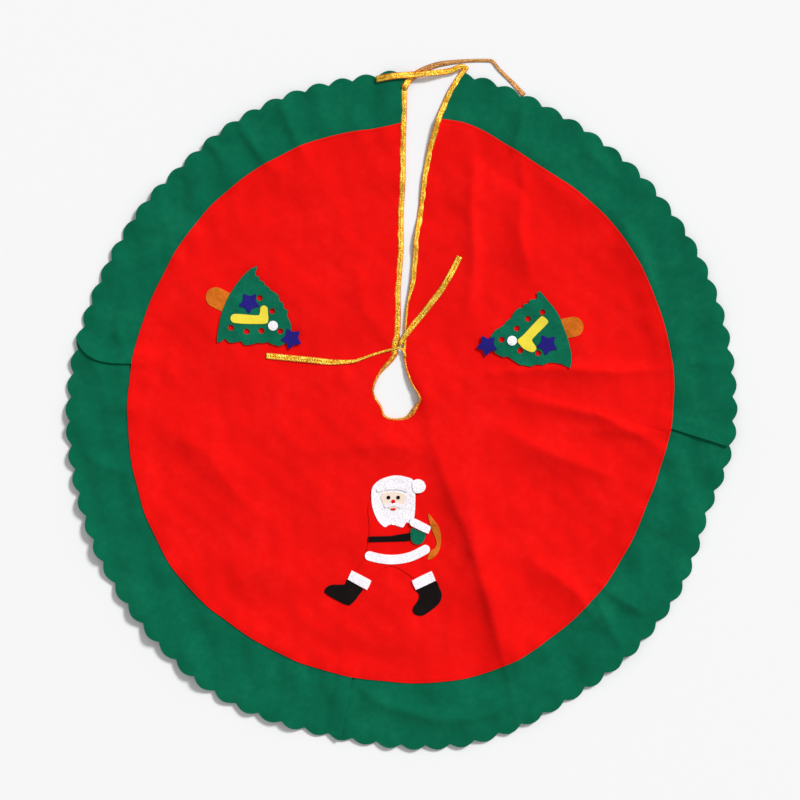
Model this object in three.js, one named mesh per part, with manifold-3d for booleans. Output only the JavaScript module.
// A felt tree skirt laid flat: a round red panel with a scalloped green border in four lapped strips, a slit
// from the hem to the neck opening, gold tape bound over the slit and neck edges, four ribbon ties, two tree
// motifs and a walking winter figure, all cut from thin felt and glued on in layers.
//
// Millimetres, +Z up. The origin is the centre of the scalloped circle, on the surface that the skirt lies
// on. The slit opens towards +Y, the rear, and the figure stands at -Y, the front. Bearings run clockwise
// from +Y, seen from above. The rear right quarter folds up about a line from the neck to the right seam.
import * as THREE from "three";
import { mergeVertices } from "three/addons/utils/BufferGeometryUtils.js";
import Module from "manifold-3d";

const wasm = await Module();
wasm.setup();

// ---------------------------------------------------------------- sizes that can be set

const skirtDiameter = 900; // over the scallop tips
const scallopCount = 86;
const scallopDepth = 7;
const borderWidth = 80; // from the panel's edge to the scallop tips
const hiddenLap = 10; // border felt that runs under the panel's edge
const seamLap = 14; // one border strip over the end of the next
const feltThickness = 2; // panel and border
const motifThickness = 1.2; // thin felt of the trees and the figure
const clearance = 0.3; // between pieces that touch
const foldClearance = 3; // room beside the fold line for the quarter's step to swing past the border

const tapeThickness = 0.35; // one layer of the folded binding tape
const tapeWidth = 7.5; // how far the folded tape reaches in from an edge
const neckWidth = 60;
const neckLength = 86;
const neckTopY = 74; // where the neck opening narrows to the slit
const slitStartY = 88; // where the slit's own edges begin
const slitStartX = -4;
const slitGapAtNeck = 8;
const slitSpread = 28; // the slit widens evenly by this much on its way to the hem
const slitFlare = 35; // and by this much more near the hem, where its corner is pulled aside
const slitLean = 11; // the slit's left edge leans to the right by this much

const leftSeamBearing = 280;
const frontSeamBearing = 190.3;
const foldAngle = -17.6; // the fold line's direction, anticlockwise from +X

const ribbonWidth = 8;
const ribbonThickness = 1.2; // folded and stitched, so it is stiffer than the tape

const treeHeight = 98; // from the apex to the middle of the foot
const treeHalfWidth = 57;
const treeCornerDrop = 82; // the foot's corners are this far below the apex
const treeApexHalfWidth = 7; // under the top star
const treeTeeth = 8; // on each side
const toothDepth = 3;
const starRadius = 12.8;
const trunkWidth = 27;
const trunkShows = 27; // below the tree's foot
const trunkTuck = 9; // hidden under the tree
const lightHoleRadius = 3.8; // punched holes that show the red panel
const bentBarWidth = 11.5;
const bobbleRadius = 6.4;

// ---------------------------------------------------------------- sizes worked out from them

const degrees = Math.PI / 180;
const skirtRadius = skirtDiameter / 2;
const panelRadius = skirtRadius - borderWidth;
const lapRadius = panelRadius - hiddenLap; // inner edge of the border felt
const upperFloor = feltThickness + clearance; // underside of felt that lies on felt
const upperTop = upperFloor + feltThickness;
const layerStep = motifThickness + clearance;
const motifLayer = (layer) => upperFloor + layer * layerStep; // underside of a layer of thin felt
const reach = skirtDiameter; // longer than any cut
const cutHeight = 20 * feltThickness;
const circleSteps = 96;
const scallopSteps = 4;
const tapeSteps = 20;

const direction = (angle) => new THREE.Vector2(Math.cos(angle * degrees), Math.sin(angle * degrees));
const bearing = (angle) => direction(90 - angle);
const foldStart = new THREE.Vector2(slitStartX + slitGapAtNeck - 1, slitStartY);

// ---------------------------------------------------------------- solids

function solidFrom(geometry) {
  const bare = geometry.index ? geometry.toNonIndexed() : geometry.clone();
  bare.deleteAttribute("normal");
  bare.deleteAttribute("uv");
  const merged = mergeVertices(bare, 1e-4);
  const mesh = new wasm.Mesh({
    numProp: 3,
    vertProperties: merged.attributes.position.array,
    triVerts: new Uint32Array(merged.index.array),
  });
  return new wasm.Manifold(mesh);
}

function geometryFrom(solid) {
  const mesh = solid.getMesh();
  const geometry = new THREE.BufferGeometry();
  geometry.setAttribute("position", new THREE.BufferAttribute(new Float32Array(mesh.vertProperties), 3));
  geometry.setIndex(new THREE.BufferAttribute(new Uint32Array(mesh.triVerts), 1));
  geometry.computeVertexNormals();
  return geometry;
}

// A flat piece cut from sheet: an outline, the height of its underside and its thickness.
function plate(shape, bottom, thickness, curveSegments = 6) {
  const geometry = new THREE.ExtrudeGeometry(shape, { depth: thickness, bevelEnabled: false, curveSegments });
  return geometry.translate(0, 0, bottom);
}

const cutter = (shape) => solidFrom(plate(shape, -cutHeight / 2, cutHeight));
const polygon = (points) => new THREE.Shape(points.map(([x, y]) => new THREE.Vector2(x, y)));

// A smooth closed outline through a few points.
function smoothOutline(points, stepsPerPoint = 4) {
  const curve = new THREE.CatmullRomCurve3(points.map(([x, y]) => new THREE.Vector3(x, y, 0)), true);
  const spaced = curve.getPoints(points.length * stepsPerPoint).slice(0, -1);
  return new THREE.Shape(spaced.map((p) => new THREE.Vector2(p.x, p.y)));
}

// All that lies between two distances to the left of a line, as a tall box.
function beside(start, angle, from, to) {
  const box = new THREE.BoxGeometry(2 * reach, to - from, cutHeight);
  box.translate(0, (from + to) / 2, 0);
  box.rotateZ(angle * degrees);
  return solidFrom(box.translate(start.x, start.y, 0));
}

// The part of the skirt between two bearings, each cut shifted clockwise by a distance.
function sector(fromBearing, fromShift, toBearing, toShift) {
  const onCut = (angle, shift, distance) => {
    const point = bearing(angle).multiplyScalar(distance).addScaledVector(bearing(angle + 90), shift);
    return [point.x, point.y];
  };
  const middle = (fromBearing + toBearing) / 2;
  return cutter(
    polygon([
      onCut(fromBearing, fromShift, lapRadius / 4),
      onCut(fromBearing, fromShift, reach),
      onCut(middle, 0, 2 * reach),
      onCut(toBearing, toShift, reach),
      onCut(toBearing, toShift, lapRadius / 4),
    ]),
  );
}

// ---------------------------------------------------------------- edges of the slit and the neck opening

// A point on the slit, by its share of the way to the hem and of the gap from left to right.
function slitPoint(share, gapShare) {
  const gap = slitGapAtNeck + slitSpread * share + slitFlare * Math.pow(share, 6);
  const x = slitStartX + slitLean * share + gapShare * gap;
  return new THREE.Vector2(x, slitStartY + (skirtRadius - slitStartY) * share);
}

function slitEdge(gapShare, from, to) {
  const shares = Array.from({ length: tapeSteps + 1 }, (_, i) => from + ((to - from) * i) / tapeSteps);
  return shares.map((share) => slitPoint(share, gapShare));
}

// The neck opening from the slit's left, round the front, to its right, in shares of its width and length.
const neckShape = [
  [-0.07, 0],
  [-0.33, -0.22],
  [-0.61, -0.48],
  [-0.56, -0.75],
  [-0.34, -0.95],
  [-0.05, -1],
  [0.27, -0.89],
  [0.42, -0.66],
  [0.27, -0.42],
  [0.12, -0.2],
  [0.08, 0],
];
const neckPoints = neckShape.map(([x, y]) => new THREE.Vector2(x * neckWidth, neckTopY + y * neckLength));
const neckEdge = new THREE.SplineCurve(neckPoints).getSpacedPoints(2 * tapeSteps);

// A strip that follows an edge, between two distances to the right of it.
function band(edge, from, to, bottom, height) {
  const sides = [[], []];
  edge.forEach((point, i) => {
    const before = edge[Math.max(i - 1, 0)];
    const after = edge[Math.min(i + 1, edge.length - 1)];
    const along = after.clone().sub(before).normalize();
    const right = new THREE.Vector2(along.y, -along.x);
    sides[0].push(point.clone().addScaledVector(right, from));
    sides[1].push(point.clone().addScaledVector(right, to));
  });
  return solidFrom(plate(new THREE.Shape([...sides[0], ...sides[1].reverse()]), bottom, height));
}

// Every bound edge: feltSide is 1 where the felt lies to the right of the edge and -1 to the left.
const boundEdges = {
  slit_binding_left: { edge: slitEdge(0, 0.015, 0.96), feltSide: -1 },
  slit_binding_right: { edge: slitEdge(1, 0.04, 0.965), feltSide: 1 },
  neck_binding: { edge: neckEdge, feltSide: 1 },
};

function bandOnFelt({ edge, feltSide }, from, to, bottom, height) {
  return feltSide > 0 ? band(edge, from, to, bottom, height) : band(edge, -to, -from, bottom, height);
}

// Binding tape folded over the felt's edge.
function foldedTape(bound) {
  const outside = bandOnFelt(bound, -clearance - tapeThickness, tapeWidth, 0, feltThickness);
  const insideHeight = feltThickness - 2 * tapeThickness;
  return outside.subtract(bandOnFelt(bound, -clearance, 2 * tapeWidth, tapeThickness, insideHeight));
}

// What the tape needs taken off the felt: the tape squeezes both faces, and nothing lies on top of it.
function tapeRebate(bound) {
  const squeeze = tapeThickness + clearance;
  const slab = (bottom) => bandOnFelt(bound, -clearance, tapeWidth + clearance, bottom, cutHeight);
  return slab(squeeze - cutHeight).add(slab(feltThickness - squeeze));
}

const openingOutline = [...slitEdge(0, 0, 1.1), ...slitEdge(1, 0, 1.1).reverse(), ...[...neckEdge].reverse()];
const opening = cutter(new THREE.Shape(openingOutline));
const rebates = Object.values(boundEdges).map(tapeRebate);
const trimFelt = (solid) => rebates.reduce((left, rebate) => left.subtract(rebate), solid.subtract(opening));

// ---------------------------------------------------------------- the quarter that folds up

const corner = [1.5 * reach, -reach];
const rightOfSlit = cutter(
  new THREE.Shape([
    ...slitEdge(0.5, 0, 1.3),
    new THREE.Vector2(corner[0], 1.3 * skirtRadius),
    new THREE.Vector2(...corner),
    new THREE.Vector2(slitPoint(0, 0.5).x, corner[1]),
  ]),
);
const beyondFold = (from, to) => beside(foldStart, foldAngle, from, to);
const quarter = rightOfSlit.intersect(beyondFold(clearance, reach));

function panelSolid() {
  const step = lapRadius - clearance; // where the panel climbs on to the border
  const profile = [
    [0, 0],
    [step, 0],
    [step, upperFloor],
    [panelRadius, upperFloor],
    [panelRadius, upperTop],
    [step - feltThickness, upperTop],
    [step - feltThickness, feltThickness],
    [0, feltThickness],
  ];
  const points = profile.map(([r, z]) => new THREE.Vector2(r, z));
  return trimFelt(solidFrom(new THREE.LatheGeometry(points, circleSteps).rotateX(Math.PI / 2)));
}

const panel = panelSolid();
const panelPieces = {
  red_panel: panel.subtract(rightOfSlit.intersect(beyondFold(0, reach))),
  red_panel_rear_quarter: panel.intersect(quarter),
};

// ---------------------------------------------------------------- green border

function scallopedCircle() {
  const points = [];
  for (let i = 0; i < scallopCount * scallopSteps; i++) {
    const across = ((i % scallopSteps) / scallopSteps) * 2 - 1; // -1 is the cusp between two scallops
    const radius = skirtRadius - scallopDepth * (1 - Math.sqrt(1 - across * across));
    points.push(direction((i / (scallopCount * scallopSteps)) * 360).multiplyScalar(radius));
  }
  return new THREE.Shape(points);
}

function borderRing(innerRadius, bottom, top) {
  const shape = scallopedCircle();
  shape.holes.push(new THREE.Path().absarc(0, 0, innerRadius, 0, 2 * Math.PI, true));
  return trimFelt(solidFrom(plate(shape, bottom, top - bottom, circleSteps)));
}

const floorRing = borderRing(lapRadius, 0, feltThickness);
const tongueRing = borderRing(panelRadius + clearance, upperFloor, upperTop);
const riserRing = borderRing(panelRadius + clearance, 0, upperTop);
const stripStart = seamLap + clearance; // an upper strip comes down to the floor here
const riserEnd = stripStart + feltThickness;

// The end of an upper strip: a tongue over the strip below, and the step down from it.
function lappedEnd(angle) {
  const tongue = tongueRing.intersect(sector(angle, 0, angle, riserEnd));
  return tongue.add(riserRing.intersect(sector(angle, stripStart, angle, riserEnd)));
}

const swingDisc = plate(disc(0, 0, lapRadius + foldClearance), -cutHeight / 2, cutHeight, circleSteps);
const swingRoom = solidFrom(swingDisc).intersect(beyondFold(-feltThickness, reach));
const borderStrips = {
  border_rear_left: floorRing
    .intersect(sector(leftSeamBearing, stripStart, 380, 0).subtract(rightOfSlit))
    .add(lappedEnd(leftSeamBearing)),
  border_front_left: floorRing
    .intersect(sector(frontSeamBearing, stripStart, leftSeamBearing, seamLap))
    .add(lappedEnd(frontSeamBearing)),
  border_front_right: floorRing
    .intersect(sector(60, 0, frontSeamBearing, seamLap))
    .intersect(beyondFold(-reach, seamLap))
    .subtract(swingRoom),
  border_rear_right: floorRing
    .intersect(rightOfSlit.intersect(beyondFold(stripStart, reach)))
    .add(tongueRing.intersect(rightOfSlit).intersect(beyondFold(clearance, riserEnd)))
    .add(riserRing.intersect(rightOfSlit).intersect(beyondFold(stripStart, riserEnd))),
};

// ---------------------------------------------------------------- ribbon ties

// Each route is the ribbon's centre line, from where it leaves the binding to its free end.
const onFloor = 0.2 + 0.5 * ribbonThickness;
const onFelt = feltThickness + clearance + 0.5 * ribbonThickness;
const hem = skirtRadius;
const tieRoutes = {
  neck_tie_left: [
    [6, 71, onFelt], [1, 82, onFelt], [-12, 80, onFelt], [-31, 75, onFelt], [-53, 67.5, onFelt],
    [-64, 64, onFelt], [-93, 63, onFelt], [-118, 65.5, onFelt], [-144, 68, onFelt], [-181, 71.5, onFelt],
  ],
  neck_tie_right: [
    [2.5, 94, onFelt], [12.5, 107, onFelt], [22, 119, onFelt], [31.5, 130, onFelt], [43, 145, onFelt],
    [54.5, 160, onFelt], [69, 184.5, onFelt], [79, 205, onFelt],
  ],
  hem_tie_left: [
    [13, hem - 13, onFloor], [24, hem - 1, onFloor], [40, hem + 10, onFloor], [60, hem + 16.5, onFloor],
    [78, hem + 19, onFloor], [98, hem + 20, onFloor], [118, hem + 19, onFloor], [133, hem + 12, onFloor],
    [146, hem, onFloor], [170, hem - 24, onFloor],
  ],
  hem_tie_right: [
    [72, hem - 13, onFelt], [66, hem - 3, onFelt], [50, hem + 1.5, onFelt], [36, hem + 0.5, onFelt],
    [23, hem - 1.5, onFelt], [6, hem - 3, onFelt], [-10, hem - 4.5, onFelt], [-33, hem - 9, onFelt],
  ],
};

// A flat tube with eight sides, a step every two widths.
function ribbon(route) {
  const curve = new THREE.CatmullRomCurve3(route.map((point) => new THREE.Vector3(...point)));
  const [edge, side] = [0.5 * ribbonThickness, 0.5 * ribbonWidth];
  const section = [
    [edge, -0.8 * side],
    [edge, 0.8 * side],
    [0.5 * edge, side],
    [-0.5 * edge, side],
    [-edge, 0.8 * side],
    [-edge, -0.8 * side],
    [-0.5 * edge, -side],
    [0.5 * edge, -side],
  ];
  const steps = Math.ceil(curve.getLength() / (2 * ribbonWidth));
  return new THREE.ExtrudeGeometry(polygon(section), { steps, bevelEnabled: false, extrudePath: curve });
}

// ---------------------------------------------------------------- motif shapes

function disc(x, y, radius) {
  return new THREE.Shape().absarc(x, y, radius, 0, 2 * Math.PI);
}

// A bar with round ends and mitred bends along a line of points.
function bar(points, width, bottom) {
  const line = points.map(([x, y]) => new THREE.Vector2(x, y));
  const last = line.length - 1;
  const heading = (i) => line[i + 1].clone().sub(line[i]).normalize();
  const sides = [[], []];
  line.forEach((point, i) => {
    const into = heading(Math.max(i - 1, 0));
    const along = heading(Math.min(i, last - 1)).add(into).normalize();
    const half = width / 2 / along.dot(into);
    const left = new THREE.Vector2(-along.y, along.x);
    sides[0].push(point.clone().addScaledVector(left, half));
    sides[1].unshift(point.clone().addScaledVector(left, -half));
  });
  const roundEnd = (centre, outward) => {
    const turns = [60, 30, 0, -30, -60].map((turn) => outward.angle() / degrees + turn);
    return turns.map((angle) => direction(angle).multiplyScalar(width / 2).add(centre));
  };
  const farEnd = roundEnd(line[last], heading(last - 1));
  const nearEnd = roundEnd(line[0], heading(0).negate());
  return plate(new THREE.Shape([...sides[0], ...farEnd, ...sides[1], ...nearEnd]), bottom, motifThickness);
}

function star(x, y, radius, turn) {
  const points = Array.from({ length: 10 }, (_, i) => {
    const tip = i % 2 === 0 ? radius : 0.5 * radius;
    const point = direction(turn + i * 36).multiplyScalar(tip);
    return [x + point.x, y + point.y];
  });
  return polygon(points);
}

const thinPlate = (shape, layer) => plate(shape, motifLayer(layer), motifThickness, 9);

// ---------------------------------------------------------------- tree motif

function treeOutline() {
  const side = (sign) => {
    const points = [];
    for (let i = 0; i <= 2 * treeTeeth; i++) {
      const share = i / (2 * treeTeeth);
      const bulge = 4 * Math.sin(share * Math.PI) + (i % 2 ? toothDepth : 0);
      const x = treeApexHalfWidth + (treeHalfWidth - treeApexHalfWidth) * share + bulge * 0.8;
      points.push([sign * x, -treeCornerDrop * share + bulge * 0.6]);
    }
    return points;
  };
  const footDrop = treeHeight - treeCornerDrop;
  const foot = Array.from({ length: 9 }, (_, i) => {
    const across = 1 - (i + 1) / 5;
    return [treeHalfWidth * across, -treeCornerDrop - footDrop * (1 - across * across)];
  });
  return polygon([...side(1), ...foot, ...side(-1).reverse()]);
}

const treeLights = [[-24, -59], [-16, -36], [29, -75], [24, -54], [14, -37], [3, -14]];
const bentBar = [[19, -79], [-0.5, -41], [-16, -53]];

function treeBody() {
  const shape = treeOutline();
  treeLights.forEach(([x, y]) => {
    shape.holes.push(disc(x, y, lightHoleRadius));
  });
  return plate(shape, motifLayer(1), motifThickness, 6);
}

function trunk() {
  const half = trunkWidth / 2;
  const top = trunkTuck - treeHeight;
  const shape = new THREE.Shape();
  shape.moveTo(2 + half, top);
  shape.lineTo(2 - half, top);
  shape.absarc(2, -treeHeight - trunkShows + half, half, Math.PI, 2 * Math.PI);
  return thinPlate(shape, 0);
}

const treePieces = {
  trunk: { geometry: trunk(), colour: "brownFelt" },
  body: { geometry: treeBody(), colour: "greenFelt" },
  bent_bar: { geometry: bar(bentBar, bentBarWidth, motifLayer(2)), colour: "yellowFelt" },
  bobble: { geometry: thinPlate(disc(0, -23.5, bobbleRadius), 2), colour: "whiteFelt" },
};

const trees = [
  { name: "left_tree", x: -148, y: 100.8, turn: -117.1, starTurns: [20, 36] },
  { name: "right_tree", x: 122.3, y: 87.5, turn: 100.7, starTurns: [0, 12] },
];

// ---------------------------------------------------------------- walking figure

const suitOutline = [
  [-43, -128], [-24, -120], [8, -122], [24, -143], [36, -160], [37, -180], [33, -198],
  [43, -222], [24, -230], [-14, -211], [-50, -232], [-62, -222], [-48, -198], [-42, -165],
];
const sackOutline = [
  [35, -141], [46, -150], [55, -168], [53, -187], [40, -203], [38, -198], [42, -182], [41, -160],
];
const headOutline = [
  [-8, -89], [10, -95], [17, -110], [19, -130], [19, -146], [8, -152], [0, -160], [-12, -159],
  [-24, -154], [-33, -142], [-38, -128], [-38, -108], [-26, -93],
];
const leftBootOutline = [
  [-69, -232], [-80, -238], [-98, -240], [-100, -248], [-82, -256], [-70, -264], [-62, -257], [-55, -245],
];
const rightBootOutline = [
  [23, -242], [20, -254], [15, -268], [26, -276], [40, -266], [57, -257], [53, -247], [47, -234],
];

const figurePieces = {
  sack: { geometry: thinPlate(smoothOutline(sackOutline), 0), colour: "brownFelt" },
  suit: { geometry: thinPlate(smoothOutline(suitOutline), 0), colour: "redFelt" },
  boot_left: { geometry: thinPlate(smoothOutline(leftBootOutline), 0), colour: "blackFelt" },
  boot_right: { geometry: thinPlate(smoothOutline(rightBootOutline), 0), colour: "blackFelt" },
  boot_cuff_left: {
    geometry: bar([[-66, -226.5], [-46, -235.5]], 12, motifLayer(1)),
    colour: "whiteFelt",
  },
  boot_cuff_right: { geometry: bar([[21, -235.5], [41, -226.5]], 12, motifLayer(1)), colour: "whiteFelt" },
  jacket_hem: {
    geometry: bar([[-42, -199], [-28, -204], [-8, -204.5], [14, -199], [33, -189]], 12.5, motifLayer(1)),
    colour: "whiteFelt",
  },
  belt: { geometry: bar([[-39, -175.5], [6.5, -171.5]], 8, motifLayer(1)), colour: "blackFelt" },
  mitten: {
    geometry: thinPlate(smoothOutline([[16, -163], [29, -167], [32, -178], [23, -182], [14.5, -175]]), 1),
    colour: "greenFelt",
  },
  head: { geometry: thinPlate(smoothOutline(headOutline), 1), colour: "whiteFelt" },
  mitten_cuff: { geometry: bar([[17, -151.5], [36, -161.5]], 10, motifLayer(2)), colour: "whiteFelt" },
  hat_pompom: { geometry: thinPlate(disc(24, -104.5, 9), 2), colour: "whiteFelt" },
  face: {
    geometry: thinPlate(smoothOutline([[-27, -115], [-10, -112], [7, -115], [4, -127], [-10, -134], [-24, -127]]), 2),
    colour: "skinFelt",
  },
  hat_brim: {
    geometry: bar([[-31, -107], [-20, -103.5], [-1, -103.5], [9, -107]], 9, motifLayer(2)),
    colour: "whiteFelt",
  },
  eye_left: { geometry: thinPlate(disc(-16.5, -119, 1.9), 3), colour: "blackFelt" },
  eye_right: { geometry: thinPlate(disc(-3.5, -119, 1.9), 3), colour: "blackFelt" },
  nose: { geometry: thinPlate(disc(-10, -124.5, 2.4), 3), colour: "redFelt" },
  moustache: {
    geometry: bar([[-20, -131], [-10, -129.5], [0, -131]], 4.4, motifLayer(3)),
    colour: "whiteFelt",
  },
  mouth: { geometry: bar([[-12, -136.5], [-8, -136.5]], 3.2, motifLayer(2)), colour: "redFelt" },
};

// ---------------------------------------------------------------- the assembly

const finish = (color, roughness, metalness = 0) => ({ color, roughness, metalness });
const finishes = {
  redFelt: finish(0xd8150f, 0.95),
  greenFelt: finish(0x0e6b45, 0.95),
  brownFelt: finish(0xb5651e, 0.95),
  navyFelt: finish(0x232080, 0.95),
  yellowFelt: finish(0xe8dc4a, 0.95),
  whiteFelt: finish(0xeee6f0, 0.9),
  blackFelt: finish(0x16100f, 0.95),
  skinFelt: finish(0xf2c9a8, 0.95),
  goldTape: finish(0xe0a52a, 0.35, 0.6),
};

const group = new THREE.Group();

function add(parent, name, geometry, colour) {
  const mesh = new THREE.Mesh(geometry, new THREE.MeshStandardMaterial(finishes[colour]));
  mesh.name = name;
  parent.add(mesh);
}

for (const [name, solid] of Object.entries(panelPieces)) add(group, name, geometryFrom(solid), "redFelt");
for (const [name, solid] of Object.entries(borderStrips)) add(group, name, geometryFrom(solid), "greenFelt");
for (const [name, bound] of Object.entries(boundEdges)) {
  add(group, name, geometryFrom(foldedTape(bound)), "goldTape");
}
for (const [name, route] of Object.entries(tieRoutes)) add(group, name, ribbon(route), "goldTape");

for (const tree of trees) {
  const motif = new THREE.Group();
  motif.position.set(tree.x, tree.y, 0);
  motif.rotation.z = tree.turn * degrees;
  for (const [name, piece] of Object.entries(treePieces)) {
    add(motif, `${tree.name}_${name}`, piece.geometry, piece.colour);
  }
  const [topTurn, middleTurn] = tree.starTurns;
  add(motif, `${tree.name}_top_star`, thinPlate(star(1.5, 5, starRadius, topTurn), 2), "navyFelt");
  add(motif, `${tree.name}_middle_star`, thinPlate(star(-14.5, -71, starRadius, middleTurn), 2), "navyFelt");
  group.add(motif);
}

for (const [name, piece] of Object.entries(figurePieces)) {
  add(group, `figure_${name}`, piece.geometry, piece.colour);
}

export default group;
